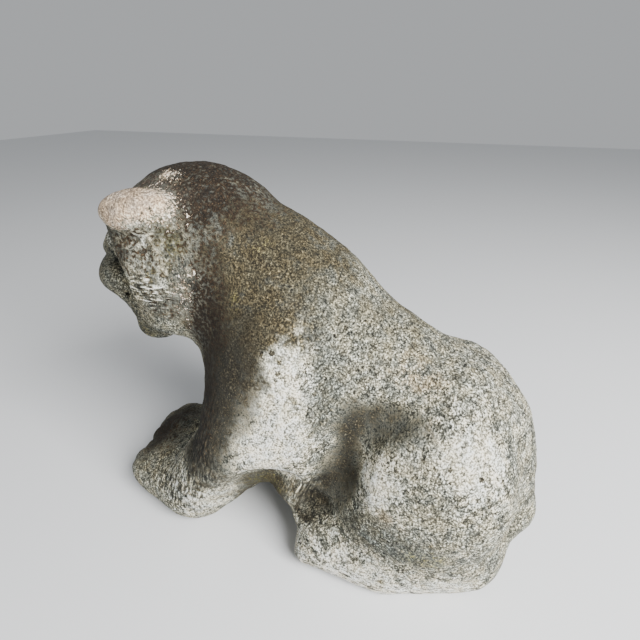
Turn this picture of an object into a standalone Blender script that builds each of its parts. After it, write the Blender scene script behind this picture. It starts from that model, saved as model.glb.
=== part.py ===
"""Stone lion: a lion sitting low on its haunches, carved from one block, its head turned to its right.

The lion faces -Y and its left side is +X. The origin is on the ground, in the middle of the lion's
box. The form is a field: a function that is negative inside the stone, built from eggs and tapered
limbs that melt into each other, and then cut by creases, hollows, the arch under the belly and the
ground. The field's zero level becomes a mesh, and a Decimate modifier thins it where the stone is
smooth. All carving sizes are in carving units, which are shares of the lion's height.
"""

import math

import bpy
import numpy as np
from mathutils import Euler

HEIGHT = 0.552  # ground to crown, in metres
CARVED_HEIGHT = 55.2  # the same height in carving units, so a unit is a centimetre at this height
UNIT = HEIGHT / CARVED_HEIGHT

HEAD_CENTRE = (0.0, -19.5, 43.0)
HEAD_TURN = math.radians(16)  # to the lion's right
HEAD_NOD = math.radians(6)  # downwards
EAR_LIFT = {1: 7.4, -1: 5.2}  # the right ear is worn lower than the left one
PAW_REACH = {1: 0.0, -1: 1.6}  # the right forepaw lies further forward

MIDDLE_Y = -3.02  # halfway between the right forepaw's tip and the tail
BLOCK_LOW = (-19.0, -41.0, -3.0)  # the block that the lion is cut from
BLOCK_HIGH = (19.0, 36.0, 58.0)
SPARE_BELOW = 1.2  # stone under the ground that the last, flat cut takes off
CELL = 0.8  # grid step of the skin
TRIANGLES = 9800  # what the Decimate modifier leaves

LEFT, RIGHT = 1, -1
SIDES = (LEFT, RIGHT)


def egg(points, centre, radii, turn=(0, 0, 0)):
    """About the distance to an ellipsoid; turn is an XYZ rotation in degrees."""
    axes = np.array(Euler([math.radians(angle) for angle in turn]).to_matrix())
    local = (points - centre) @ axes
    radii = np.array(radii)
    near = np.linalg.norm(local / radii, axis=-1)
    steep = np.linalg.norm(local / radii**2, axis=-1)
    return near * (near - 1) / np.maximum(steep, 1e-9)


def limb(points, start, end, start_radius, end_radius):
    """Distance to a round bar whose radius changes evenly from one end to the other."""
    start = np.array(start, float)
    axis = np.array(end, float) - start
    along = np.clip((points - start) @ axis / (axis @ axis), 0, 1)
    radius = start_radius + (end_radius - start_radius) * along
    return np.linalg.norm(points - start - along[..., None] * axis, axis=-1) - radius


def path(points, stops, radii):
    """Distance to a chain of limbs through the stops."""
    field = np.inf
    for start, end, first, last in zip(stops, stops[1:], radii, radii[1:]):
        field = np.minimum(field, limb(points, start, end, first, last))
    return field


def melt(first, second, blend):
    """Joins two fields, filling the corner between them over the length blend."""
    corner = np.maximum(blend - np.abs(first - second), 0) / blend
    return np.minimum(first, second) - corner**2 * blend / 4


def carve(field, tool, soften):
    """Takes the tool's shape out of the field, with its edges rounded."""
    return -melt(-field, tool, soften)


def on_side(side, *places):
    """Places of the lion's left side, mirrored when the side is its right one."""
    moved = [(side * x, y, z) for x, y, z in places]
    return moved[0] if len(moved) == 1 else moved


def torso(points):
    """The trunk from the neck to the rump, with the stump of the tail."""
    rump = egg(points, (0, 17.0, 17.4), (11.0, 12.8, 15.8), (-14, 0, 0))
    belly = egg(points, (0, 5.6, 23.6), (10.4, 16.0, 15.2), (-32, 0, 0))
    seat = egg(points, (0, 20.0, 7.0), (10.4, 9.4, 9.0))
    chest = egg(points, (0, -4.0, 27.0), (10.8, 11.6, 20.0), (4, 0, 0))
    neck = limb(points, (0, -6.0, 36.0), (0, -14.5, 44.6), 10.0, 8.5)
    tail = limb(points, (0, 24.8, 24.5), (0, 28.6, 11.0), 3.0, 3.4)
    field = melt(rump, belly, 5)
    field = melt(field, seat, 5)
    field = melt(field, chest, 8)
    field = melt(field, neck, 8)
    for side in SIDES:
        hip = egg(points, on_side(side, (4.0, 19.8, 26.8)), (4.6, 5.0, 5.4))
        field = melt(field, hip, 3)
    return melt(field, tail, 3)


def foreleg(points, side):
    shoulder = egg(points, on_side(side, (8.6, -3.8, 26.0)), (5.6, 7.4, 14.0), (-18, 0, side * 8))
    stops = on_side(side, (8.4, -7.0, 19.0), (7.8, -13.2, 12.0), (6.8, -18.4, 5.6))
    leg = path(points, stops, (6.8, 6.0, 5.6))
    paw_place = on_side(side, (5.0, -24.5 - PAW_REACH[side], 4.4))
    paw = egg(points, paw_place, (5.4, 8.2, 5.0), (-12, 0, 0))
    field = melt(shoulder, leg, 5)
    return melt(field, paw, 4)


def haunch(points, side):
    """The folded thigh with the hind foot flat on the ground under it."""
    thigh = egg(points, on_side(side, (7.6, 16.6, 16.8)), (7.4, 11.4, 13.4), (-14, 0, 0))
    stops = on_side(side, (8.0, 2.2, 4.6), (8.2, 13.0, 3.8), (4.6, 23.4, 4.2))
    foot = path(points, stops, (5.2, 5.3, 5.0))
    return melt(thigh, foot, 4)


def to_head(points):
    """Points in the head's own frame: x to the lion's left, y forwards, z up."""
    forward = np.array((-math.sin(HEAD_TURN), -math.cos(HEAD_TURN), 0.0))
    left = np.array((math.cos(HEAD_TURN), -math.sin(HEAD_TURN), 0.0))
    up = np.array((0.0, 0.0, 1.0))
    nodded_forward = forward * math.cos(HEAD_NOD) - up * math.sin(HEAD_NOD)
    nodded_up = up * math.cos(HEAD_NOD) + forward * math.sin(HEAD_NOD)
    return (points - HEAD_CENTRE) @ np.stack((left, nodded_forward, nodded_up), axis=1)


def muzzle(here):
    """The nose, its bridge, the two lip pads and the chin."""
    snout = egg(here, (0, 10.6, -4.6), (6.2, 7.3, 5.5))
    bridge = limb(here, (0, 6.0, 2.4), (0, 15.4, 0.3), 3.8, 3.4)
    jaw = limb(here, (0, 0.0, -7.0), (0, 9.5, -10.0), 5.0, 4.6)
    chin = egg(here, (0, 12.0, -13.0), (3.4, 3.4, 3.0))
    nose = egg(here, (0, 17.2, -0.2), (3.4, 2.0, 2.0))
    field = melt(snout, bridge, 2.5)
    field = melt(field, jaw, 3)
    for side in SIDES:
        pad = egg(here, on_side(side, (3.4, 13.2, -3.7)), (3.6, 3.9, 3.0))
        field = melt(field, pad, 2.2)
    field = melt(field, nose, 1)
    return melt(field, chin, 2)


def head(points):
    here = to_head(points)
    skull = egg(here, (0, -1.5, 2.5), (9.8, 10.6, 9.4))
    field = melt(skull, muzzle(here), 3)
    for side in SIDES:
        cheek = egg(here, on_side(side, (5.6, -0.8, -2.8)), (5.2, 6.2, 7.0))
        ruff_stops = on_side(side, (8.8, 1.2, 6.0), (8.6, -0.6, 1.6), (8.0, -2.4, -2.4), (6.6, -2.0, -7.0))
        ruff = path(here, ruff_stops, (1.8, 1.8, 1.8, 1.8))
        temple = egg(here, on_side(side, (13.0, 6.8, -1.0)), (5.6, 6.8, 10.5), (-30, 0, 0))
        brow = egg(here, on_side(side, (4.2, 6.4, 2.8)), (4.2, 2.4, 2.0))
        socket = egg(here, on_side(side, (5.4, 9.8, 0.2)), (3.0, 2.6, 2.2))
        eye = egg(here, on_side(side, (5.1, 7.6, 0.2)), (1.9, 1.7, 1.3))
        ear_place = (side * 9.4, -3.2, EAR_LIFT[side])
        ear = egg(here, ear_place, (2.6, 4.8, 2.6), (0, 0, side * -25))
        field = melt(field, cheek, 3)
        field = melt(field, ruff, 3.5)
        field = carve(field, temple, 0.8)
        field = melt(field, brow, 2.5)
        field = carve(field, socket, 2)
        field = melt(field, eye, 1.5)
        field = melt(field, ear, 1.6)
    return field


def lion(points):
    """The whole figure's field, down to the spare stone below the ground."""
    field = torso(points)
    for side in SIDES:
        field = melt(field, foreleg(points, side), 5)
        field = melt(field, haunch(points, side), 2.5)
    field = melt(field, head(points), 4)
    between_paws = egg(points, (0, -21.0, 5.0), (5.4, 11.4, 6.6))
    between_feet = limb(points, (0, 9.0, 2.0), (0, 18.0, 4.0), 7.0, 7.0)
    field = melt(field, between_paws, 3)
    field = melt(field, between_feet, 3)
    arch = egg(points, (0, -4.6, 1.0), (30.0, 4.9, 10.4))
    field = carve(field, arch, 2)
    for side in SIDES:
        mouth_stops = on_side(side, (14.0, -12.0, 1.0), (14.5, -7.5, 8.0), (14.5, -2.6, 14.2), (13.0, -1.6, 8.0))
        arch_mouth = path(points, mouth_stops, (3.0, 4.0, 4.4, 3.0))
        crease_stops = on_side(side, (13.4, 6.8, 17.0), (13.0, 7.2, 23.0), (13.0, 10.4, 29.0))
        crease = path(points, crease_stops, (2.4, 2.6, 2.2))
        flank_stops = on_side(side, (14.0, 6.0, 41.0), (14.4, 8.4, 31.0))
        flank = path(points, flank_stops, (4.0, 4.0))
        field = carve(field, arch_mouth, 4)
        field = carve(field, crease, 3)
        field = carve(field, flank, 5)
    return np.maximum(field, -SPARE_BELOW - points[..., 2])


def blur(values):
    """Averages each grid value with its neighbours, so that no form is thinner than a cell."""
    for axis in range(3):
        padded = np.pad(values, [(1, 1) if i == axis else (0, 0) for i in range(3)], mode="edge")
        count = values.shape[axis]
        before, after = (np.take(padded, np.arange(count) + step, axis) for step in (0, 2))
        values = values / 2 + (before + after) / 4
    return values


def part_of(counts, axis, shifts):
    """Slices that step along a grid's other two axes by the shifts, and take all of this axis."""
    others = [i for i in range(3) if i != axis]
    pick = [slice(None)] * 3
    for other, shift in zip(others, shifts):
        pick[other] = slice(shift, counts[other] - 1 + shift)
    return tuple(pick)


def ends_of(axis, inner=slice(None)):
    """Slices for the two ends of each grid edge along an axis."""
    here = [inner] * 3
    there = [inner] * 3
    here[axis] = slice(None, -1)
    there[axis] = slice(1, None)
    return tuple(here), tuple(there)


def skin(field, low, high, cell):
    """Meshes a field's zero level: (points, quads).

    Each grid cell that the level crosses gets one point, the mean of the crossings on its edges.
    Each grid edge that it crosses gets one quad, between the points of the four cells around it.
    """
    counts = np.ceil((np.array(high) - low) / cell).astype(int) + 1
    axes = [low[i] + cell * np.arange(counts[i]) for i in range(3)]
    nodes = np.stack(np.meshgrid(*axes, indexing="ij"), axis=-1)
    values = blur(field(nodes))
    inside = values < 0
    total = np.zeros((*(counts - 1), 3))
    crossings = np.zeros(counts - 1)
    for axis in range(3):
        here, there = ends_of(axis)
        crossed = inside[here] != inside[there]
        gap = np.where(crossed, values[here] - values[there], 1)
        spot = nodes[here].copy()
        spot[..., axis] += np.where(crossed, values[here] / gap, 0) * cell
        spot[~crossed] = 0
        for shifts in ((0, 0), (0, 1), (1, 0), (1, 1)):
            pick = part_of(counts, axis, shifts)
            total += spot[pick]
            crossings += crossed[pick]
    used = crossings > 0
    index = np.full(used.shape, -1)
    index[used] = np.arange(used.sum())
    points = total[used] / crossings[used][:, None]
    quads = []
    for axis in range(3):
        turn = [(1, 2), (2, 0), (0, 1)][axis]
        here, there = ends_of(axis, slice(1, -1))
        for mask, order in ((inside[here] & ~inside[there], 1), (~inside[here] & inside[there], -1)):
            cells = np.argwhere(mask) + 1
            cells[:, axis] -= 1
            ring = []
            for back in ((1, 1), (0, 1), (0, 0), (1, 0)):
                around = cells.copy()
                around[:, turn] -= back
                ring.append(index[tuple(around.T)])
            quads.append(np.stack(ring[::order], axis=1))
    return points, np.concatenate(quads)


def stone():
    material = bpy.data.materials.new("weathered_limestone")
    material.use_nodes = True
    shader = material.node_tree.nodes["Principled BSDF"]
    shader.inputs["Base Color"].default_value = (0.36, 0.34, 0.29, 1)
    shader.inputs["Roughness"].default_value = 0.95
    shader.inputs["Metallic"].default_value = 0.0
    return material


def ground_cutter():
    """A slab whose top is the ground, wider than the lion."""
    half = 1.2 * HEIGHT
    corners = [(x, y, z) for x in (-half, half) for y in (-half, half) for z in (-half, 0)]
    sides = [(0, 1, 3, 2), (4, 6, 7, 5), (0, 4, 5, 1), (2, 3, 7, 6), (0, 2, 6, 4), (1, 5, 7, 3)]
    mesh = bpy.data.meshes.new("ground_cutter")
    mesh.from_pydata(corners, [], sides)
    cutter = bpy.data.objects.new("ground_cutter", mesh)
    cutter.hide_render = True
    cutter.display_type = "WIRE"
    bpy.context.collection.objects.link(cutter)
    return cutter


def main():
    for old in list(bpy.data.objects):
        bpy.data.objects.remove(old)
    points, quads = skin(lion, np.array(BLOCK_LOW), BLOCK_HIGH, CELL)
    mesh = bpy.data.meshes.new("stone_lion")
    mesh.from_pydata((points - (0, MIDDLE_Y, 0)) * UNIT, [], quads.tolist())
    mesh.materials.append(stone())
    mesh.shade_smooth()
    body = bpy.data.objects.new("stone_lion", mesh)
    bpy.context.collection.objects.link(body)
    thin = body.modifiers.new("thin", "DECIMATE")
    thin.ratio = TRIANGLES / (2 * len(quads))
    flatten = body.modifiers.new("flatten", "BOOLEAN")
    flatten.operation = "DIFFERENCE"
    flatten.object = ground_cutter()
    return body


if __name__ == "__main__":
    main()
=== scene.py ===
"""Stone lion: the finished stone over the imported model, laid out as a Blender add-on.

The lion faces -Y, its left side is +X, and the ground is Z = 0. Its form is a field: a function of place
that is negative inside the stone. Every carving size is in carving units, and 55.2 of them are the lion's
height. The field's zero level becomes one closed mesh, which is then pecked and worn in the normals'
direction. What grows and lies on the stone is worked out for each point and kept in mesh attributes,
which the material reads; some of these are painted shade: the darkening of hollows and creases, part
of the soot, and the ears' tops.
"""

import math
import bpy
import numpy as np
from mathutils import Euler, Matrix, Vector


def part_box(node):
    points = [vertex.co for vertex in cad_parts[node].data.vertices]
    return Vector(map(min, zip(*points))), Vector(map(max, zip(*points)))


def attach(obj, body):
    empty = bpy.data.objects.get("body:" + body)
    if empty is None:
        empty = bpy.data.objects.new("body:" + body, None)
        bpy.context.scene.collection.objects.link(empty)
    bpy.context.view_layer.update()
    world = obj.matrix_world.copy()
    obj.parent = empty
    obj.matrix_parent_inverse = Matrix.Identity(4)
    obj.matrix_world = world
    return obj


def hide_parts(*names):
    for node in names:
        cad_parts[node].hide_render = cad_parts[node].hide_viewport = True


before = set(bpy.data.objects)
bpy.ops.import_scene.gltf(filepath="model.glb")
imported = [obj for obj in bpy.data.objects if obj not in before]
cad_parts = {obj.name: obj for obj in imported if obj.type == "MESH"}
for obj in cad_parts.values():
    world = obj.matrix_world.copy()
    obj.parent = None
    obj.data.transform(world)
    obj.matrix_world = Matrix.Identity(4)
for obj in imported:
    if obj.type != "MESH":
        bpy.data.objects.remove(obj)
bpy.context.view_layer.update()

bl_info = {
    "name": "Stone lion",
    "version": (1, 0, 0),
    "blender": (4, 5, 0),
    "location": "3D View > Sidebar > Stone lion",
    "description": "Makes a weathered stone lion and a plain stage for it",
    "category": "Mesh",
}

NODE = "stone_lion"
LOW, HIGH = (np.array(corner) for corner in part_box(NODE))
HEIGHT = float(HIGH[2] - LOW[2])

LEFT, RIGHT = 1, -1  # the sign that x has on each side of the lion
SIDES = (LEFT, RIGHT)

CARVED_HEIGHT = 55.2  # the height in carving units, so a unit is a centimetre on this lion
HEAD_CENTRE = (0.0, -19.5, 43.0)
HEAD_TURN = math.radians(16)  # to the lion's right
HEAD_NOD = math.radians(6)  # downwards
EAR_LIFT = {LEFT: 7.4, RIGHT: 5.2}  # the right ear is worn lower than the left one
PAW_Y = -24.5  # the left forepaw's middle
PAW_REACH = {LEFT: 0.0, RIGHT: 1.6}  # the right forepaw lies further forward
MIDDLE_Y = -3.02  # halfway between the right forepaw's tip and the tail

BLOCK_LOW = (-17.5, -40.0, -1.0)  # the block that the lion is cut from
BLOCK_HIGH = (17.5, 35.0, 57.0)
FINE_BEFORE_Y = -13.0  # the grid is finer from here forwards
FINE_ABOVE_Z = 27.0  # and from here upwards, so it is finest on the head
FLAT_BELOW = 0.2  # height up to which the surface keeps its smooth form, to stand flat
WORN_ABOVE = 1.2  # height from which it is pecked and worn in full

SHAKES = ((1.1, 4.5), (0.6, 1.8))  # how far each noise shakes the covers' places, and its size
HOLLOW_CLOSE = 0.8  # how far out from the surface narrow hollows are felt for
HOLLOW_WIDE = 3.0  # and wide ones
RELIEF = ((0.10, 3.4, 11), (0.07, 1.7, 12), (0.05, 0.9, 13), (0.04, 0.55, 14))  # height, size and seed
PECK_DEPTH = 0.12
PECK_SPACING = 1.3
PECK_FLOOR = 0.15  # radius of a peck's flat floor
PECK_RIM = 0.45  # radius of its rim
PECK_SEED = 21
UNPECKED = 0.6  # share of the cells that have no peck

CAMERA_PLACE = (0.5591, 0.2340, 0.640)  # in metres
CAMERA_PITCH = math.radians(26)  # downwards
CAMERA_HEADING = math.radians(20)  # towards the lion's front, from straight across it
CAMERA_LENS = 27  # in millimetres, on a sensor 36 wide
CAMERA_SENSOR = 36
KEY_PLACE = (1.2, 1.8, 1.7)
KEY_AIM = (0, 0, 0.25)  # the lion's middle
KEY_SIZE = 1.4


def egg(points, centre, radii, turn=(0, 0, 0)):
    """About the distance to an ellipsoid: k (k - 1) over the length of (place / radii squared).

    k is the length of (place / radii), with the place taken in the egg's own turned axes.
    """
    axes = np.array(Euler([math.radians(angle) for angle in turn]).to_matrix())
    local = (points - centre) @ axes
    radii = np.array(radii)
    near = np.linalg.norm(local / radii, axis=-1)
    steep = np.linalg.norm(local / radii**2, axis=-1)
    return near * (near - 1) / np.maximum(steep, 1e-9)


def limb(points, start, end, start_radius, end_radius):
    """Distance to the nearest point of a line piece, less a radius that changes evenly along it."""
    start = np.array(start, float)
    axis = np.array(end, float) - start
    along = np.clip((points - start) @ axis / (axis @ axis), 0, 1)
    radius = start_radius + (end_radius - start_radius) * along
    return np.linalg.norm(points - start - along[..., None] * axis, axis=-1) - radius


def path(points, stops, radii):
    """The least distance to a chain of limbs through the stops."""
    field = np.inf
    for start, end, first, last in zip(stops, stops[1:], radii, radii[1:]):
        field = np.minimum(field, limb(points, start, end, first, last))
    return field


def melt(first, second, blend):
    """The lesser of two fields, less a rounded fillet where they differ by under the length blend."""
    corner = np.maximum(blend - np.abs(first - second), 0) / blend
    return np.minimum(first, second) - corner**2 * blend / 4


def carve(field, tool, soften):
    """The field without the tool's shape: melt of their opposites, with the sign turned back."""
    return -melt(-field, tool, soften)


def on_side(side, *places):
    """Places of the lion's left side, with x times the side's sign."""
    moved = [(side * x, y, z) for x, y, z in places]
    return moved[0] if len(moved) == 1 else moved


def torso(points):
    """The trunk: eggs for rump, belly, seat, chest and hips, and limbs for neck and tail stump."""
    rump = egg(points, (0, 17.0, 17.4), (11.0, 12.8, 15.8), (-14, 0, 0))
    belly = egg(points, (0, 5.6, 23.6), (10.4, 16.0, 15.2), (-32, 0, 0))
    seat = egg(points, (0, 20.0, 7.0), (10.4, 9.4, 9.0))
    chest = egg(points, (0, -4.0, 27.0), (10.8, 11.6, 20.0), (4, 0, 0))
    neck = limb(points, (0, -6.0, 36.0), (0, -14.5, 44.6), 10.0, 8.5)
    tail = limb(points, (0, 24.8, 24.5), (0, 28.6, 11.0), 3.0, 3.4)
    field = melt(rump, belly, 5)
    field = melt(field, seat, 5)
    field = melt(field, chest, 8)
    field = melt(field, neck, 8)
    for side in SIDES:
        hip = egg(points, on_side(side, (4.0, 19.8, 26.8)), (4.6, 5.0, 5.4))
        field = melt(field, hip, 3)
    return melt(field, tail, 3)


def foreleg(points, side):
    """An egg for the shoulder, a chain of limbs for the leg and a flat egg for the paw."""
    shoulder = egg(points, on_side(side, (8.6, -3.8, 26.0)), (5.6, 7.4, 14.0), (-18, 0, side * 8))
    stops = on_side(side, (8.4, -7.0, 19.0), (7.8, -13.2, 12.0), (6.8, -18.4, 5.6))
    leg = path(points, stops, (6.8, 6.0, 5.6))
    paw_place = on_side(side, (5.0, PAW_Y - PAW_REACH[side], 4.4))
    paw = egg(points, paw_place, (5.4, 8.2, 5.0), (-12, 0, 0))
    field = melt(shoulder, leg, 5)
    return melt(field, paw, 4)


def haunch(points, side):
    """An egg for the folded thigh, melted into a chain of limbs for the hind foot."""
    thigh = egg(points, on_side(side, (7.6, 16.6, 16.8)), (7.4, 11.4, 13.4), (-14, 0, 0))
    stops = on_side(side, (8.0, 2.2, 4.6), (8.2, 13.0, 3.8), (4.6, 23.4, 4.2))
    foot = path(points, stops, (5.2, 5.3, 5.0))
    return melt(thigh, foot, 4)


def to_head(points):
    """Places in the head's own frame (x left, y forwards, z up), by the turn and then the nod."""
    forward = np.array((-math.sin(HEAD_TURN), -math.cos(HEAD_TURN), 0.0))
    left = np.array((math.cos(HEAD_TURN), -math.sin(HEAD_TURN), 0.0))
    up = np.array((0.0, 0.0, 1.0))
    nodded_forward = forward * math.cos(HEAD_NOD) - up * math.sin(HEAD_NOD)
    nodded_up = up * math.cos(HEAD_NOD) + forward * math.sin(HEAD_NOD)
    return (points - HEAD_CENTRE) @ np.stack((left, nodded_forward, nodded_up), axis=1)


def muzzle(here):
    """Snout, bridge, jaw, lip pads, nose and chin melted together."""
    snout = egg(here, (0, 10.6, -4.6), (6.2, 7.3, 5.5))
    bridge = limb(here, (0, 6.0, 2.4), (0, 15.4, 0.3), 3.8, 3.4)
    jaw = limb(here, (0, 0.0, -7.0), (0, 9.5, -10.0), 5.0, 4.6)
    chin = egg(here, (0, 12.0, -13.0), (3.4, 3.4, 3.0))
    nose = egg(here, (0, 17.2, -0.2), (3.4, 2.0, 2.0))
    field = melt(snout, bridge, 2.5)
    field = melt(field, jaw, 3)
    for side in SIDES:
        pad = egg(here, on_side(side, (3.4, 13.2, -3.7)), (3.6, 3.9, 3.0))
        field = melt(field, pad, 2.2)
    field = melt(field, nose, 1)
    return melt(field, chin, 2)


def head(points):
    """Skull and muzzle with cheeks, ruff, brows and ears melted on, and temples and sockets cut out."""
    here = to_head(points)
    skull = egg(here, (0, -1.5, 2.5), (9.8, 10.6, 9.4))
    field = melt(skull, muzzle(here), 3)
    for side in SIDES:
        cheek = egg(here, on_side(side, (5.6, -0.8, -2.8)), (5.2, 6.2, 7.0))
        ruff_stops = on_side(side, (8.8, 1.2, 6.0), (8.6, -0.6, 1.6), (8.0, -2.4, -2.4), (6.6, -2.0, -7.0))
        ruff = path(here, ruff_stops, (1.8, 1.8, 1.8, 1.8))
        temple = egg(here, on_side(side, (13.0, 6.8, -1.0)), (5.6, 6.8, 10.5), (-30, 0, 0))
        brow = egg(here, on_side(side, (4.2, 6.4, 2.8)), (4.2, 2.4, 2.0))
        socket = egg(here, on_side(side, (5.4, 9.8, 0.2)), (3.0, 2.6, 2.2))
        ear_place = (side * 9.4, -3.2, EAR_LIFT[side])
        ear = egg(here, ear_place, (2.6, 4.8, 2.6), (0, 0, side * -25))
        field = melt(field, cheek, 3)
        field = melt(field, ruff, 3.5)
        field = carve(field, temple, 0.8)
        field = melt(field, brow, 2.5)
        field = carve(field, socket, 2)
        field = melt(field, ear, 1.6)
    return fine_face(field, here)


def fine_face(field, here):
    """The small carving of the face: eyes between lids, nostrils, lip line and the cheek's edge."""
    for side in SIDES:
        eye = egg(here, on_side(side, (5.0, 7.7, 0.2)), (2.0, 1.8, 1.35))
        lid_stops = on_side(side, (2.9, 9.2, -0.2), (4.3, 9.6, 1.5), (6.2, 8.6, 1.2), (7.2, 6.9, 0.0))
        lid = path(here, lid_stops, (0.3, 0.5, 0.5, 0.3))
        lip_stops = on_side(side, (0.0, 17.0, -6.2), (2.6, 16.2, -6.9), (4.8, 13.2, -6.8), (5.8, 9.0, -6.0))
        lip = path(here, lip_stops, (0.3, 0.4, 0.3, 0.2))
        nostril = egg(here, on_side(side, (1.6, 18.9, -0.7)), (0.9, 0.8, 0.5), (0, side * 25, 0))
        edge_stops = on_side(side, (9.6, 5.2, 3.2), (9.0, 4.6, 0.0), (7.8, 5.2, -3.4), (6.2, 6.4, -7.6))
        edge = path(here, edge_stops, (0.4, 0.6, 0.6, 0.4))
        field = melt(field, eye, 0.6)
        field = melt(field, lid, 0.6)
        field = carve(field, lip, 0.6)
        field = carve(field, nostril, 0.5)
        field = carve(field, edge, 1.0)
    groove = limb(here, (0, 18.8, -2.0), (0, 17.4, -6.0), 0.3, 0.3)
    return carve(field, groove, 0.6)


def toes(points, field, side):
    """Three worn grooves over a forepaw's front."""
    reach = PAW_Y - PAW_REACH[side]
    for across in (1.6, 4.2, 6.8):
        stops = on_side(
            side, (across, reach - 4.0, 10.0), (across, reach - 9.2, 6.0), (across, reach - 9.6, 1.0)
        )
        field = carve(field, path(points, stops, (1.0, 0.9, 0.6)), 1.6)
    return field


def side_hollows(points, field, side):
    """The widening of the arch's mouth, the crease before the thigh and the flank's hollow, cut out."""
    mouth_stops = on_side(
        side, (14.0, -12.0, 1.0), (14.5, -7.5, 8.0), (14.5, -2.6, 14.2), (13.0, -1.6, 8.0)
    )
    crease_stops = on_side(side, (13.4, 6.8, 17.0), (13.0, 7.2, 23.0), (13.0, 10.4, 29.0))
    flank_stops = on_side(side, (14.0, 6.0, 41.0), (14.4, 8.4, 31.0))
    field = carve(field, path(points, mouth_stops, (3.0, 4.0, 4.4, 3.0)), 4)
    field = carve(field, path(points, crease_stops, (2.4, 2.6, 2.2)), 3)
    return carve(field, path(points, flank_stops, (4.0, 4.0)), 5)


def fold_and_skirt(points, field, side):
    """A skirt of stone down the arch's rear edge, the deep fold over the thigh and a pocket before it."""
    over_stops = on_side(
        side,
        (10.9, 6.8, 19.8),
        (10.8, 7.8, 23.6),
        (10.3, 10.0, 26.9),
        (10.0, 13.0, 28.9),
        (10.0, 16.0, 29.8),
    )
    under_stops = on_side(side, (10.9, 6.8, 19.8), (11.2, 5.8, 15.4), (10.6, 3.4, 12.0), (9.6, 1.2, 9.6))
    over = path(points, over_stops, (1.3, 1.5, 1.4, 1.0, 0.2))
    under = path(points, under_stops, (1.2, 1.0, 0.9, 0.7))
    pocket = egg(points, on_side(side, (11.6, 3.6, 15.0)), (1.8, 1.3, 2.0))
    skirt = limb(points, on_side(side, (9.4, -1.0, 12.6)), on_side(side, (9.0, 0.9, 8.6)), 1.6, 1.5)
    field = melt(field, skirt, 2.4)
    field = carve(field, np.minimum(over, under), 2.6)
    return carve(field, pocket, 1.6)


def lion(points):
    """The whole figure: trunk, legs, haunches and head melted, then arch, creases and hollows cut."""
    field = torso(points)
    for side in SIDES:
        field = melt(field, foreleg(points, side), 5)
        field = melt(field, haunch(points, side), 2.5)
    field = melt(field, head(points), 4)
    between_paws = egg(points, (0, -21.0, 5.0), (5.4, 11.4, 6.6))
    web = egg(points, (0, -16.0, 13.5), (4.0, 3.4, 5.0))
    between_feet = limb(points, (0, 9.0, 2.0), (0, 18.0, 4.0), 7.0, 7.0)
    arch = egg(points, (0, -4.6, 1.0), (30.0, 4.9, 10.4))
    for filling in (between_paws, web, between_feet):
        field = melt(field, filling, 3)
    field = carve(field, arch, 2)
    for side in SIDES:
        field = side_hollows(points, field, side)
        field = fold_and_skirt(points, field, side)
        field = toes(points, field, side)
    return np.maximum(field, -points[..., 2])


def steps(stops, sizes):
    """Grid lines from the first stop to the last, with each stretch between stops cut in equal steps."""
    lines = [np.array(stops[:1])]
    for start, end, size in zip(stops, stops[1:], sizes):
        count = max(1, round((end - start) / size))
        lines.append(start + (end - start) * np.arange(1, count + 1) / count)
    return np.concatenate(lines)


def sampled(field, axes, stride=4, reach=1.9):
    """The field at a grid's nodes, worked out node by node only near its zero level.

    Elsewhere a node takes the value at the nearest node of a grid that is stride times coarser.
    """
    nodes = np.stack(np.meshgrid(*axes, indexing="ij"), axis=-1)
    picks = [np.minimum(np.round(np.arange(len(a)) / stride).astype(int) * stride, len(a) - 1) for a in axes]
    unique = [np.unique(pick) for pick in picks]
    coarse = field(nodes[np.ix_(*unique)])
    back = [np.searchsorted(u, pick) for u, pick in zip(unique, picks)]
    values = coarse[np.ix_(*back)]
    near = np.abs(values) < reach
    values[near] = field(nodes[near])
    return nodes, values


def part_of(counts, axis, shifts):
    """Slices that step along a grid's other two axes by the shifts, and take all of this axis."""
    others = [i for i in range(3) if i != axis]
    pick = [slice(None)] * 3
    for other, shift in zip(others, shifts):
        pick[other] = slice(shift, counts[other] - 1 + shift)
    return tuple(pick)


def ends_of(axis, inner=slice(None)):
    """Slices for the two ends of each grid edge along an axis."""
    here = [inner] * 3
    there = [inner] * 3
    here[axis] = slice(None, -1)
    there[axis] = slice(1, None)
    return tuple(here), tuple(there)


def skin(field, axes):
    """Meshes a field's zero level: (points, quads).

    Each grid cell that the level crosses gets one point, the mean of the crossings on its edges. Each
    grid edge that it crosses gets one quad, between the points of the four cells around it.
    """
    nodes, values = sampled(field, axes)
    counts = np.array(values.shape)
    inside = values < 0
    total = np.zeros((*(counts - 1), 3))
    crossings = np.zeros(counts - 1)
    for axis in range(3):
        here, there = ends_of(axis)
        crossed = inside[here] != inside[there]
        gap = np.where(crossed, values[here] - values[there], 1)
        share = np.where(crossed, values[here] / gap, 0)
        spot = nodes[here] + share[..., None] * (nodes[there] - nodes[here])
        spot[~crossed] = 0
        for shifts in ((0, 0), (0, 1), (1, 0), (1, 1)):
            pick = part_of(counts, axis, shifts)
            total += spot[pick]
            crossings += crossed[pick]
    used = crossings > 0
    index = np.full(used.shape, -1)
    index[used] = np.arange(used.sum())
    points = total[used] / crossings[used][:, None]
    quads = []
    for axis in range(3):
        turn = [(1, 2), (2, 0), (0, 1)][axis]
        here, there = ends_of(axis, slice(1, -1))
        for mask, order in ((inside[here] & ~inside[there], 1), (~inside[here] & inside[there], -1)):
            cells = np.argwhere(mask) + 1
            cells[:, axis] -= 1
            ring = []
            for back in ((1, 1), (0, 1), (0, 0), (1, 0)):
                around = cells.copy()
                around[:, turn] -= back
                ring.append(index[tuple(around.T)])
            quads.append(np.stack(ring[::order], axis=1))
    return points, np.concatenate(quads)


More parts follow.
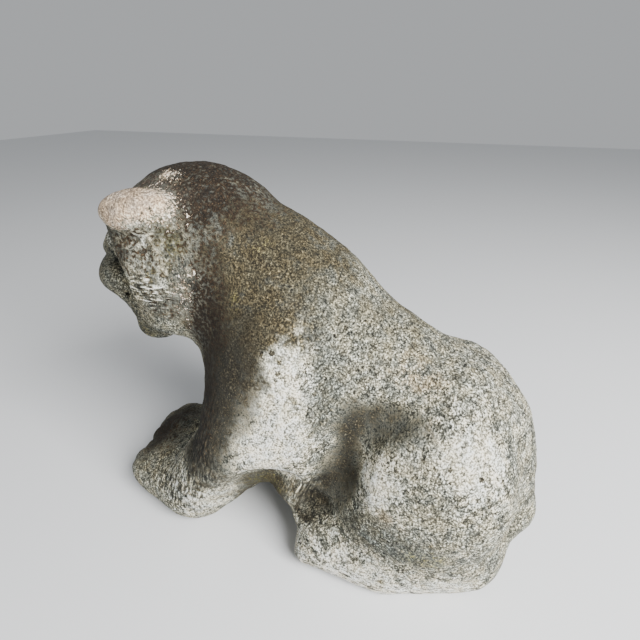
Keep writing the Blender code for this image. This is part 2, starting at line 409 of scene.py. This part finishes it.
def slope(field, points, step=0.05):
    """The field's gradient by differences between a point and its three neighbours one step away."""
    base = field(points)
    moved = [field(points + step * np.eye(3)[axis]) for axis in range(3)]
    return base, (np.stack(moved, axis=-1) - base[..., None]) / step


def settle(field, points, rounds=2, furthest=0.15):
    """Moves points against the slope by value over slope squared, which brings them to the zero level."""
    for _ in range(rounds):
        value, rise = slope(field, points)
        steep = np.maximum((rise**2).sum(axis=-1), 0.2)
        move = np.clip(value / steep, -furthest, furthest)
        points = points - move[..., None] * rise
    return points


def face_normals(points, quads):
    """Unit normals at the points: the sum of the cross products of the diagonals of the quads around."""
    corners = points[quads]
    cross = np.cross(corners[:, 2] - corners[:, 0], corners[:, 3] - corners[:, 1])
    total = np.zeros_like(points)
    for corner in range(4):
        np.add.at(total, quads[:, corner], cross)
    return total / np.maximum(np.linalg.norm(total, axis=1, keepdims=True), 1e-12)


def chance(cells, seed):
    """A number from 0 to 1 for each whole-number place.

    The place and the seed are scattered by large odd multipliers, then mixed with their own high digits.
    """
    x, y, z = (cells[..., i].astype(np.int64) for i in range(3))
    mixed = (x * 73856093) ^ (y * 19349663) ^ (z * 83492791) ^ (seed * 2654435761)
    mixed = ((mixed ^ (mixed >> 13)) * 1274126177) & 0xFFFFFFFF
    mixed = ((mixed ^ (mixed >> 15)) * 2246822519) & 0xFFFFFFFF
    return (mixed ^ (mixed >> 14)).astype(float) % 65536 / 65535


def ripple(points, size, seed):
    """Smooth noise from -1 to 1: chances at the corners of cells of the size, blended by 3t^2 - 2t^3."""
    scaled = points / size
    cell = np.floor(scaled)
    part = scaled - cell
    part = part * part * (3 - 2 * part)
    total = 0
    for corner in np.ndindex(2, 2, 2):
        share = np.prod(np.where(np.array(corner) == 1, part, 1 - part), axis=-1)
        total = total + share * chance(cell + corner, seed)
    return 2 * total - 1


def pecks(points, spacing, seed):
    """The distance to the nearest of one scattered point per cell, and that point's own chance."""
    cell = np.floor(points / spacing)
    nearest = np.full(points.shape[:-1], np.inf)
    luck = np.zeros(points.shape[:-1])
    for corner in np.ndindex(3, 3, 3):
        around = cell + corner - 1
        jitter = np.stack([chance(around, seed + axis) for axis in range(3)], axis=-1)
        gap = np.linalg.norm(points - (around + jitter) * spacing, axis=-1)
        closer = gap < nearest
        nearest = np.where(closer, gap, nearest)
        luck = np.where(closer, chance(around, seed + 7), luck)
    return nearest, luck


def ramp(values, low, high):
    """0 below low and 1 above high, with 3t^2 - 2t^3 between."""
    part = np.clip((values - low) / (high - low), 0, 1)
    return part * part * (3 - 2 * part)


def patches(points, spots):
    """How far each point lies in any of some soft egg-shaped patches.

    A patch has its strength in the middle, half of it one radius out and a sixteenth two radii out. The
    patches join as chances do: the result is 1 less the product of what each of them leaves free.
    """
    free = np.ones(points.shape[:-1])
    for centre, radii, strength in spots:
        far = (((points - centre) / radii) ** 2).sum(axis=-1)
        free = free * (1 - strength * 0.5**far)
    return 1 - free


# Where each cover lies: middle, half-strength radii and strength, in carving units on the left side.
# Spots is where lichens grow, smooth where the stone is rubbed, and the strokes where the chisel shows.
COVER = {
    "crust": [
        ((0.0, -16.0, 56.0), (11.0, 10.0, 6.0), 1.0),
        ((6.6, -12.0, 52.0), (3.0, 4.0, 2.4), 0.95),
        ((10.0, -11.0, 43.5), (1.8, 2.2, 4.5), 0.6),
        ((10.6, -10.5, 38.5), (2.2, 2.4, 4.5), 0.7),
        ((11.0, -21.0, 46.5), (2.0, 4.0, 2.6), 0.5),
        ((11.0, -17.0, 40.0), (2.0, 3.0, 3.0), 0.4),
        ((12.4, -11.6, 28.0), (3.2, 1.8, 8.0), 0.6),
        ((0.0, -29.0, 9.5), (5.0, 5.0, 2.6), 0.7),
    ],
    "algae": [
        ((9.5, -5.6, 42.5), (5.0, 4.6, 5.5), 1.0),
        ((4.0, -5.0, 48.5), (6.0, 8.0, 4.0), 1.0),
        ((3.0, 0.0, 46.0), (5.0, 4.5, 3.5), 0.8),
        ((8.5, -3.0, 43.5), (3.0, 4.0, 3.5), 0.7),
        ((12.0, -6.4, 37.0), (3.4, 3.2, 4.5), 1.0),
        ((13.2, -3.6, 35.6), (2.4, 2.0, 3.0), 0.85),
        ((11.2, -3.4, 40.4), (2.4, 2.4, 3.0), 0.8),
        ((12.5, -11.0, 30.0), (3.4, 2.8, 6.0), 1.0),
        ((12.5, -13.6, 19.0), (3.0, 2.4, 6.0), 0.9),
        ((9.0, -7.0, 9.0), (4.0, 3.6, 5.0), 0.9),
        ((9.6, -3.6, 14.2), (3.4, 3.0, 1.8), 1.0),
        ((4.0, -4.0, 13.0), (6.0, 6.0, 3.0), 1.0),
    ],
    # Soot and painted shade: charcoal grime, which on the foreleg's front and in the fold and crease before
    # the thigh is also painted shade, where the stone turns from the light or folds in.
    "soot_and_shade": [
        ((13.2, -7.0, 34.0), (3.8, 3.9, 5.4), 1.0),
        ((14.0, -9.2, 27.5), (3.8, 3.9, 5.4), 1.0),
        ((14.4, -10.6, 20.5), (3.0, 3.2, 4.2), 0.8),
        ((12.4, -14.6, 19.5), (3.6, 2.8, 5.0), 1.0),
        ((9.2, 13.6, 27.8), (2.4, 4.6, 1.8), 0.45),
        ((9.8, 10.2, 26.2), (2.2, 2.4, 1.8), 0.5),
        ((9.8, 8.2, 24.4), (2.0, 1.8, 2.2), 0.85),
        ((10.2, 7.2, 21.0), (2.0, 1.8, 4.0), 1.0),
        ((10.6, 5.6, 16.0), (2.0, 1.8, 3.0), 0.9),
        ((9.6, 2.8, 12.4), (2.0, 1.8, 2.6), 0.9),
        ((0.0, -29.0, 9.0), (5.0, 6.0, 3.0), 0.9),
        ((0.0, -35.0, 39.0), (6.0, 4.0, 6.0), 0.35),
    ],
    "film": [
        ((9.0, -24.0, 8.0), (4.0, 6.0, 3.0), 0.6),
        ((3.0, -30.0, 6.0), (4.0, 4.0, 6.0), 0.8),
        ((8.0, -1.0, 43.0), (5.0, 5.0, 5.0), 1.0),
        ((13.6, 11.0, 12.4), (3.0, 6.0, 2.0), 0.4),
        ((14.6, 12.5, 13.6), (3.0, 3.6, 2.6), 1.0),
        ((11.0, 2.0, 8.0), (3.0, 2.0, 3.0), 0.5),
        ((14.2, 19.0, 22.0), (2.4, 3.6, 4.0), 0.5),
        ((10.5, -25.0, 42.0), (3.0, 3.0, 7.0), 0.7),
        ((10.5, -19.0, 36.5), (3.0, 5.0, 3.0), 0.5),
        ((0.0, -30.0, 33.0), (7.0, 6.0, 7.0), 0.8),
        ((3.0, 14.0, 38.0), (5.0, 14.0, 4.0), 0.6),
        ((6.5, 1.6, 43.5), (4.5, 3.0, 3.0), 0.8),
    ],
    "cool": [
        ((10.5, 4.2, 32.0), (3.0, 1.9, 7.0), 0.9),
        ((7.0, 1.5, 42.0), (3.0, 2.5, 3.5), 0.6),
        ((9.0, 7.0, 34.0), (2.0, 2.0, 2.0), 0.4),
        ((10.5, 13.0, 27.5), (2.6, 6.0, 1.6), 0.7),
        ((14.5, 14.0, 13.0), (3.0, 5.0, 3.2), 0.9),
    ],
    "warm": [
        ((6.5, 15.0, 33.0), (3.0, 4.0, 1.8), 0.45),
        ((9.5, 19.0, 28.5), (3.0, 3.0, 1.6), 0.45),
        ((14.8, 13.6, 17.0), (2.0, 1.6, 1.6), 0.55),
        ((8.0, 28.5, 12.0), (3.0, 2.0, 2.0), 0.8),
    ],
    "moss": [
        ((9.8, -15.0, 48.0), (2.0, 2.4, 2.0), 0.7),
        ((6.2, -4.6, 46.8), (2.6, 2.4, 2.0), 0.2),
        ((10.9, -6.6, 40.6), (2.0, 1.4, 3.4), 0.3),
        ((11.0, -18.0, 44.0), (2.2, 3.6, 4.0), 0.45),
        ((14.0, 19.0, 12.0), (2.0, 4.0, 3.0), 0.35),
        ((9.5, -5.0, 13.0), (3.0, 3.0, 2.5), 0.5),
        ((1.0, -31.0, 28.0), (4.0, 3.0, 2.0), 0.4),
    ],
    "bright": [
        ((14.0, 0.0, 29.6), (3.8, 4.2, 8.6), 1.0),
        ((12.2, 1.0, 36.5), (2.8, 2.8, 3.4), 0.8),
        ((15.0, -2.6, 22.0), (3.0, 3.0, 4.0), 1.0),
        ((13.0, 0.0, 16.0), (3.0, 1.4, 3.4), 0.8),
        ((12.4, -9.4, 11.0), (2.6, 2.4, 3.4), 1.0),
        ((12.6, -12.5, 6.0), (3.0, 2.6, 3.0), 1.0),
        ((10.8, -18.0, 46.5), (2.2, 3.4, 3.6), 0.75),
        ((9.8, -15.0, 48.2), (2.0, 2.4, 1.6), 0.4),
        ((10.2, -10.8, 41.5), (1.8, 2.2, 4.0), 0.5),
        ((13.0, -17.0, 5.0), (3.0, 3.0, 3.0), 0.5),
        ((12.0, 22.6, 27.0), (3.6, 4.4, 5.0), 1.0),
        ((13.3, 12.0, 20.5), (2.0, 2.4, 4.0), 0.85),
        ((12.5, 8.0, 2.0), (5.0, 9.0, 4.4), 1.0),
        ((12.5, 20.0, 1.5), (5.0, 7.0, 3.0), 1.0),
    ],
    "bare": [
        ((11.2, -19.5, 51.4), (3.4, 5.4, 2.2), 1.0),
        ((5.0, -17.6, 54.2), (1.5, 2.0, 1.3), 0.55),
        ((9.8, -13.6, 41.5), (1.4, 2.2, 5.5), 0.38),
    ],
    # Painted shade: darkens the ear's top, laid over its bare stone.
    "ear_top_shade": [
        ((12.0, -20.0, 53.8), (3.4, 5.4, 1.7), 1.0),
    ],
    "spots": [
        ((12.4, -0.6, 36.6), (3.0, 3.6, 3.0), 1.0),
        ((12.6, 3.0, 30.0), (3.0, 3.0, 4.0), 0.7),
        ((11.5, 21.5, 24.0), (4.0, 6.0, 5.0), 1.0),
        ((8.0, 6.0, 38.0), (4.0, 6.0, 4.0), 0.6),
        ((11.0, -19.0, 44.0), (3.0, 5.0, 6.0), 1.0),
    ],
    "smooth": [
        ((9.0, -5.0, 12.0), (4.0, 4.4, 3.4), 1.0),
        ((11.0, -10.0, 5.0), (3.0, 4.0, 4.0), 0.7),
    ],
    "level_strokes": [
        ((12.0, 12.0, 1.5), (5.0, 12.0, 2.4), 1.0),
        ((11.0, -19.0, 41.5), (1.5, 2.2, 1.4), 1.0),
    ],
    "slant_strokes": [
        ((12.0, -18.0, 9.0), (4.0, 7.0, 5.0), 0.8),
        ((13.0, -12.0, 20.0), (4.0, 3.0, 7.0), 0.7),
        ((11.0, 1.0, 14.0), (3.0, 3.0, 4.0), 0.9),
    ],
}


def wandered(points):
    """The points moved along each axis by the sum of two noises."""
    (far, far_size), (short, short_size) = SHAKES
    moves = [
        far * ripple(points, far_size, seed) + short * ripple(points, short_size, seed + 3)
        for seed in (1, 2, 5)
    ]
    return points + np.stack(moves, axis=-1)


def growth(points, normals):
    """The stone's cover at each point, by name, from 0 to 1.

    Each is the join of its patches, whose places are shaken by noise. Both sides of the lion have the
    same patches, but the noise differs. Hollows come from the field a little way out from the surface:
    there it is less than that distance where stone stands round it. The material darkens the hollows
    towards the soot colour, which is grime together with painted shade.
    """
    shaken = wandered(points)
    shaken[:, 0] = np.abs(shaken[:, 0])
    close = 1 - lion(points + HOLLOW_CLOSE * normals) / HOLLOW_CLOSE
    wide = 1 - lion(points + HOLLOW_WIDE * normals) / HOLLOW_WIDE
    cover = {name: patches(shaken, spots) for name, spots in COVER.items()}
    # The hollow mask, which the material darkens: grime together with painted shade.
    cover["hollow"] = np.clip(0.5 * ramp(close, 0.1, 0.9) + 0.7 * ramp(wide, 0.15, 0.8), 0, 1)
    return cover


def relief(points, cover):
    """How far the weather and the tools leave the surface from the smooth form, in carving units.

    It is a sum of noises of four sizes, less round pecks, all of it weaker where the stone is bare or
    rubbed smooth.
    """
    rough = 1 - 0.6 * cover["bare"] - 0.4 * cover["smooth"]
    noises = sum(height * ripple(points, size, seed) for height, size, seed in RELIEF)
    near, luck = pecks(points, PECK_SPACING, PECK_SEED)
    peck = PECK_DEPTH * (luck > UNPECKED) * (1 - ramp(near, PECK_FLOOR, PECK_RIM))
    return (noises - peck) * rough


def linear(code, alpha=1.0):
    """An sRGB hex colour as linear values: x / 12.92 below 0.04045, else ((x + 0.055) / 1.055)^2.4."""
    parts = [int(code[i : i + 2], 16) / 255 for i in (1, 3, 5)]
    return (*[x / 12.92 if x <= 0.04045 else ((x + 0.055) / 1.055) ** 2.4 for x in parts], alpha)


def add(tree, kind, settings=None, links=None):
    """Adds a node, sets its values by name (attributes first, then sockets) and links its inputs."""
    made = tree.nodes.new(kind)
    for name, value in (settings or {}).items():
        if isinstance(name, str) and hasattr(made, name):
            setattr(made, name, value)
        else:
            made.inputs[name].default_value = value
    for name, source in (links or {}).items():
        tree.links.new(source, made.inputs[name])
    return made


def per_mm(size):
    """The scale at which a texture on object coordinates in metres repeats at a size in millimetres."""
    return 1000 / size


GRAIN_STOPS = 23.0  # stops of light and dark per unit of the grain noise, whose swing is about 0.1
CALMEST = 0.8  # the most that covers take from the grains' lights and darks
PALEST = (0.92, 0.90, 0.85)  # no grain is lighter than this
COOLER = (0.97, 1.0, 1.03, 1.0)  # the ends of the slow drift of hue, which colours are multiplied by
WARMER = (1.05, 1.0, 0.90, 1.0)


def weathered_limestone(colours):
    """Oolitic limestone, carved with point and claw, and left outdoors for a long time.

    The eye sees pale grains of 2 to 4 mm with darker gaps between them, clouds of cream and grey, a grey
    film, a darkening that follows the hollows, which is grime together with painted shade, crusts that
    break up into specks at their edges, and round dark lichens.
    The whole drifts slowly between a cooler and a warmer hue.
    """
    material = bpy.data.materials.new("weathered_limestone")
    material.use_nodes = True
    tree = material.node_tree
    shader = tree.nodes["Principled BSDF"]
    place = add(tree, "ShaderNodeTexCoord").outputs["Object"]

    def cover(name):
        """One of the covers that growth works out, from the mesh's attribute of that name."""
        return add(tree, "ShaderNodeAttribute", {"attribute_name": name}).outputs["Fac"]

    def noise(size, detail=2.0, roughness=0.55, vector=place):
        """Noise from 0 to 1 round 0.5, with its largest clouds about the size in millimetres."""
        settings = {"Scale": per_mm(size), "Detail": detail, "Roughness": roughness}
        return add(tree, "ShaderNodeTexNoise", settings, {"Vector": vector}).outputs["Fac"]

    def strokes(tilt):
        """Noise drawn out into strokes along the lion, tilted up towards its tail by an angle."""
        settings = {"vector_type": "TEXTURE", "Scale": (2.0, 4.5, 1.0), "Rotation": (tilt, 0, 0)}
        turned = add(tree, "ShaderNodeMapping", settings)
        tree.links.new(place, turned.inputs["Vector"])
        return noise(3.0, 2.0, 0.5, turned.outputs["Vector"])

    def maths(operation, first, second):
        """A Math node's result for two values, each a number or a node's output."""
        made = add(tree, "ShaderNodeMath", {"operation": operation})
        for socket, value in zip(made.inputs, (first, second)):
            if isinstance(value, (int, float)):
                socket.default_value = value
            else:
                tree.links.new(value, socket)
        return made.outputs[0]

    def between(value, low, high, start=0.0, end=1.0):
        """Start below low and end above high, with a smooth step between."""
        settings = {"interpolation_type": "SMOOTHSTEP"}
        made = add(tree, "ShaderNodeMapRange", settings, {"Value": value})
        for name, number in zip(("From Min", "From Max", "To Min", "To Max"), (low, high, start, end)):
            made.inputs[name].default_value = number
        return made.outputs["Result"]

    def tint(under, over, amount):
        """A colour with another laid over it by an amount. Inputs 6 and 7 and output 2 are the colours."""
        made = add(tree, "ShaderNodeMix", {"data_type": "RGBA"})
        tree.links.new(amount, made.inputs["Factor"])
        for socket, value in ((made.inputs[6], under), (made.inputs[7], over)):
            if isinstance(value, tuple):
                socket.default_value = value
            else:
                tree.links.new(value, socket)
        return made.outputs[2]

    def broken(name, texture, share, low, high, stray=0.0):
        """A cover whose edge is broken up: the cover plus a share of the texture's swing round 0.5.

        Away from the cover, only the stray part of the swing is left. At 1 it still makes clouds there.
        """
        reach = between(cover(name), 0.0, 0.3, share * stray, share)
        swing = maths("MULTIPLY", maths("SUBTRACT", texture, 0.5), reach)
        return between(maths("ADD", cover(name), swing), low, high)

    def mixed(parts):
        """The sum of values times their shares."""
        shared = [maths("MULTIPLY", value, share) for value, share in parts]
        total = shared[0]
        for part in shared[1:]:
            total = maths("ADD", total, part)
        return total

    grain = noise(2.3, 3.0, 0.65)
    speckle = noise(4.6, 4.0, 0.7)
    mottle = noise(13.0, 4.0, 0.65)
    broad = noise(45.0, 3.0, 0.6)
    hue = noise(17.0, 3.0, 0.6)
    cloud = mixed(((speckle, 0.2), (mottle, 0.45), (broad, 0.35)))
    fleck = mixed(((grain, 0.3), (speckle, 0.4), (mottle, 0.3)))
    level = strokes(0.0)
    slant = strokes(math.radians(72))

    # Clouds of cream and grey stone, then each film and crust over the ones before; the soot, the hollows'
    # darkening and the ears' tops also carry painted shade.
    stone = tint(tuple(colours.grey), tuple(colours.cream), between(cloud, 0.42, 0.58))
    stone = tint(stone, tuple(colours.bright), broken("bright", cloud, 4.6, 0.05, 1.05, 1.0))
    stone = tint(stone, tuple(colours.beige), broken("warm", cloud, 5.0, 0.2, 0.9))
    stone = tint(stone, tuple(colours.film), broken("film", cloud, 5.0, 0.1, 1.0, 1.0))
    stone = tint(stone, tuple(colours.blue), broken("cool", cloud, 5.0, 0.1, 1.0, 1.0))
    stone = tint(stone, tuple(colours.algae), broken("algae", cloud, 5.0, 0.1, 0.9, 1.0))
    stone = tint(stone, tuple(colours.moss), broken("moss", speckle, 3.0, 0.2, 0.9))
    # Soot, which on the foreleg's front and in the fold and crease before the thigh is also painted shade.
    stone = tint(stone, tuple(colours.soot_and_shade), broken("soot_and_shade", fleck, 5.0, 0.1, 1.0))
    # Hollows and creases darkened towards the soot colour: grime together with painted shade.
    stone = tint(stone, tuple(colours.soot_and_shade), between(cover("hollow"), 0.3, 1.0))
    stone = tint(stone, tuple(colours.crust), broken("crust", speckle, 5.0, 0.3, 0.7))
    stone = tint(stone, tuple(colours.bare), broken("bare", speckle, 1.7, 0.40, 0.56))
    # Painted shade over the ears' tops.
    stone = tint(stone, tuple(colours.ear_top_shade), cover("ear_top_shade"))

    # Round lichens with ragged edges, and the pale lines that level strokes of the chisel leave.
    cells = add(tree, "ShaderNodeTexVoronoi", {"Scale": per_mm(15)}, {"Vector": place})
    ragged = maths("ADD", cells.outputs["Distance"], maths("MULTIPLY", speckle, 0.5))
    lichen = maths("MULTIPLY", between(ragged, 0.50, 0.44), cover("spots"))
    stone = tint(stone, tuple(colours.lichen), lichen)
    drawn = maths("MULTIPLY", between(level, 0.56, 0.62), cover("level_strokes"))
    stone = tint(stone, tuple(colours.bright), maths("MULTIPLY", drawn, 0.7))

    # The height of grains and strokes, which the bump and the grains' lights and darks share.
    dressed = mixed(((grain, 0.5), (speckle, 0.35), (mottle, 0.15)))
    for texture, name in ((level, "level_strokes"), (slant, "slant_strokes")):
        dressed = maths("ADD", maths("MULTIPLY", maths("SUBTRACT", texture, 0.5), cover(name)), dressed)

    # Grains lighten and darken the stone, less so where it is bare, rubbed or thickly covered.
    shares = (("bare", 0.5), ("algae", 0.25), ("smooth", 0.7), ("soot_and_shade", 0.1), ("crust", 0.2))
    calm = maths("MINIMUM", mixed([(cover(name), share) for name, share in shares]), CALMEST)
    strength = maths("MULTIPLY", maths("SUBTRACT", 1.0, calm), GRAIN_STOPS)
    stops = maths("MULTIPLY", maths("SUBTRACT", dressed, 0.5), strength)
    light = maths("POWER", 2.0, stops)
    lit = add(tree, "ShaderNodeVectorMath", {"operation": "SCALE"}, {0: stone, "Scale": light})
    top = add(tree, "ShaderNodeVectorMath", {"operation": "MINIMUM"}, {0: lit.outputs["Vector"]})
    top.inputs[1].default_value = PALEST
    drift = tint(COOLER, WARMER, between(hue, 0.35, 0.65))
    links = {0: top.outputs["Vector"], 1: drift}
    drifted = add(tree, "ShaderNodeVectorMath", {"operation": "MULTIPLY"}, links)

    tree.links.new(drifted.outputs["Vector"], shader.inputs["Base Color"])
    shader.inputs["Roughness"].default_value = 0.92
    shader.inputs["Specular IOR Level"].default_value = 0.25

    bump = add(tree, "ShaderNodeBump", {"Strength": 1.0, "Distance": 0.006}, {"Height": dressed})
    tree.links.new(bump.outputs["Normal"], shader.inputs["Normal"])
    return material


def colour(name, description, code):
    """A colour property whose default is a hex colour."""
    return bpy.props.FloatVectorProperty(
        name=name, description=description, subtype="COLOR", size=4, min=0, max=1, default=linear(code)
    )


class LionForm(bpy.types.PropertyGroup):
    """Sizes of the lion and of its mesh"""

    height: bpy.props.FloatProperty(
        name="Height", description="Ground to crown", default=HEIGHT, min=0.1, unit="LENGTH"
    )
    head_grid: bpy.props.FloatProperty(
        name="Head grid", description="Mesh spacing on the head", default=0.0031, min=0.001, unit="LENGTH"
    )
    body_grid: bpy.props.FloatProperty(
        name="Body grid", description="Mesh spacing elsewhere", default=0.0040, min=0.001, unit="LENGTH"
    )
    wear: bpy.props.FloatProperty(
        name="Wear", description="How strongly the surface is pecked and worn", default=1.0, min=0, max=2
    )


class StoneColours(bpy.types.PropertyGroup):
    """Colours of the stone and of what covers it"""

    cream: colour("Cream", "Pale stone", "#858374")
    grey: colour("Grey", "Stone that the weather has greyed", "#5c5c53")
    bright: colour("Bright", "Clean pale stone", "#dfdcc9")
    film: colour("Film", "Grey film in hollows and on top", "#4e4b3e")
    blue: colour("Blue grey", "Cool grey film", "#4f514b")
    beige: colour("Beige", "Warm patches", "#8a7a62")
    # The soot colour: charcoal grime, and also painted shade in the hollows, the thigh's crease and on the
    # foreleg's front.
    soot_and_shade: colour("Soot", "Charcoal film", "#28251d")
    algae: colour("Algae", "Olive-brown film", "#3d382a")
    moss: colour("Moss", "Yellow-green film", "#4b4829")
    crust: colour("Crust", "Brown-black crust", "#1e170f")
    lichen: colour("Lichen", "Round brown lichens", "#3a3528")
    bare: colour("Bare", "Stone with its skin worn away", "#bda892")
    # Painted shade for the ears' tops, not dust.
    ear_top_shade: colour("Dust", "Pinkish dust on the ears' tops", "#786d62")


class StageSettings(bpy.types.PropertyGroup):
    """Floor and lights"""

    floor_size: bpy.props.FloatProperty(
        name="Floor size", description="Side of the floor", default=12.0, min=1, unit="LENGTH"
    )
    key_power: bpy.props.FloatProperty(
        name="Key power", description="Power of the main soft light", default=230.0, min=0, unit="POWER"
    )
    sky: bpy.props.FloatProperty(name="Sky", description="Strength of the light from all round", default=0.55)


def mesh_object(name, points, faces, material):
    """An object at the origin, unturned and unscaled, with smooth faces and one material."""
    mesh = bpy.data.meshes.new(name)
    mesh.from_pydata(points, [], faces)
    mesh.materials.append(material)
    mesh.shade_smooth()
    made = bpy.data.objects.new(name, mesh)
    bpy.context.scene.collection.objects.link(made)
    return made


class LION_OT_body(bpy.types.Operator):
    """Carves the lion and weathers it"""

    bl_idname = "lion.body"
    bl_label = "Carve the lion"

    def execute(self, context):
        form = context.scene.lion_form
        unit = form.height / CARVED_HEIGHT
        fine = form.head_grid / unit
        plain = form.body_grid / unit
        axes = (
            steps((BLOCK_LOW[0], BLOCK_HIGH[0]), (plain,)),
            steps((BLOCK_LOW[1], FINE_BEFORE_Y, BLOCK_HIGH[1]), (fine, plain)),
            steps((BLOCK_LOW[2], FINE_ABOVE_Z, BLOCK_HIGH[2]), (plain, fine)),
        )
        points, quads = skin(lion, axes)
        points = settle(lion, points)
        normals = face_normals(points, quads)
        cover = growth(points, normals)
        above = ramp(points[:, 2], FLAT_BELOW, WORN_ABOVE)
        points = points + (form.wear * above * relief(points, cover))[:, None] * normals
        points[:, 2] = np.maximum(points[:, 2], 0)
        material = weathered_limestone(context.scene.lion_colours)
        made = mesh_object("stone_lion_surface", (points - (0, MIDDLE_Y, 0)) * unit, quads.tolist(), material)
        for name, values in cover.items():
            layer = made.data.attributes.new(name, "FLOAT", "POINT")
            layer.data.foreach_set("value", values.astype(np.float32))
        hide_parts(NODE)
        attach(made, "root")
        return {"FINISHED"}


class LION_OT_stage(bpy.types.Operator):
    """Lays the floor, sets the lights and places the camera"""

    bl_idname = "lion.stage"
    bl_label = "Set the stage"

    def execute(self, context):
        stage = context.scene.lion_stage
        paper = bpy.data.materials.new("pale_paper_floor")
        paper.use_nodes = True
        shader = paper.node_tree.nodes["Principled BSDF"]
        shader.inputs["Base Color"].default_value = linear("#d9dadb")
        shader.inputs["Roughness"].default_value = 0.9
        half = stage.floor_size / 2
        corners = [(-half, -half, 0), (half, -half, 0), (half, half, 0), (-half, half, 0)]
        mesh_object("floor", corners, [(0, 1, 2, 3)], paper)
        world = bpy.data.worlds.new("soft_sky")
        world.use_nodes = True
        background = world.node_tree.nodes["Background"]
        background.inputs["Color"].default_value = linear("#e6e9ec")
        background.inputs["Strength"].default_value = stage.sky
        context.scene.world = world
        self.key(context, stage.key_power)
        self.camera(context)
        return {"FINISHED"}

    def key(self, context, power):
        """A square soft light that faces the lion's middle."""
        lamp = bpy.data.lights.new("key", "AREA")
        lamp.energy = power
        lamp.size = KEY_SIZE
        made = bpy.data.objects.new("key", lamp)
        made.location = KEY_PLACE
        aim = Vector(KEY_AIM) - Vector(KEY_PLACE)
        made.rotation_euler = aim.to_track_quat("-Z", "Y").to_euler()
        context.scene.collection.objects.link(made)

    def camera(self, context):
        """A camera above the lion's left side: 26 degrees down, heading 20 degrees forward of square."""
        pitch, heading = CAMERA_PITCH, CAMERA_HEADING
        level = np.array((-math.cos(heading), -math.sin(heading), 0))
        up = np.array((0, 0, 1))
        forward = level * math.cos(pitch) - up * math.sin(pitch)
        above = level * math.sin(pitch) + up * math.cos(pitch)
        right = np.array((-math.sin(heading), math.cos(heading), 0))
        lens = bpy.data.cameras.new("camera")
        lens.lens = CAMERA_LENS
        lens.sensor_width = CAMERA_SENSOR
        made = bpy.data.objects.new("camera", lens)
        turn = Matrix(np.stack((right, above, -forward), axis=1).tolist())
        made.matrix_world = Matrix.Translation(CAMERA_PLACE) @ turn.to_4x4()
        context.scene.collection.objects.link(made)
        context.scene.camera = made


class VIEW3D_PT_lion(bpy.types.Panel):
    """The lion's form, colours and stage, and a button for each operator"""

    bl_label = "Stone lion"
    bl_idname = "VIEW3D_PT_lion"
    bl_space_type = "VIEW_3D"
    bl_region_type = "UI"
    bl_category = "Stone lion"

    def draw(self, context):
        for group in ("lion_form", "lion_colours", "lion_stage"):
            settings = getattr(context.scene, group)
            box = self.layout.box()
            for name in settings.__annotations__:
                box.prop(settings, name)
        self.layout.operator("lion.body")
        self.layout.operator("lion.stage")


GROUPS = {"lion_form": LionForm, "lion_colours": StoneColours, "lion_stage": StageSettings}
CLASSES = (*GROUPS.values(), LION_OT_body, LION_OT_stage, VIEW3D_PT_lion)


def register():
    for made in CLASSES:
        bpy.utils.register_class(made)
    for name, group in GROUPS.items():
        setattr(bpy.types.Scene, name, bpy.props.PointerProperty(type=group))


def unregister():
    for name in GROUPS:
        delattr(bpy.types.Scene, name)
    for made in reversed(CLASSES):
        bpy.utils.unregister_class(made)


def main():
    register()
    bpy.ops.lion.body()
    bpy.ops.lion.stage()


if __name__ == "__main__":
    main()
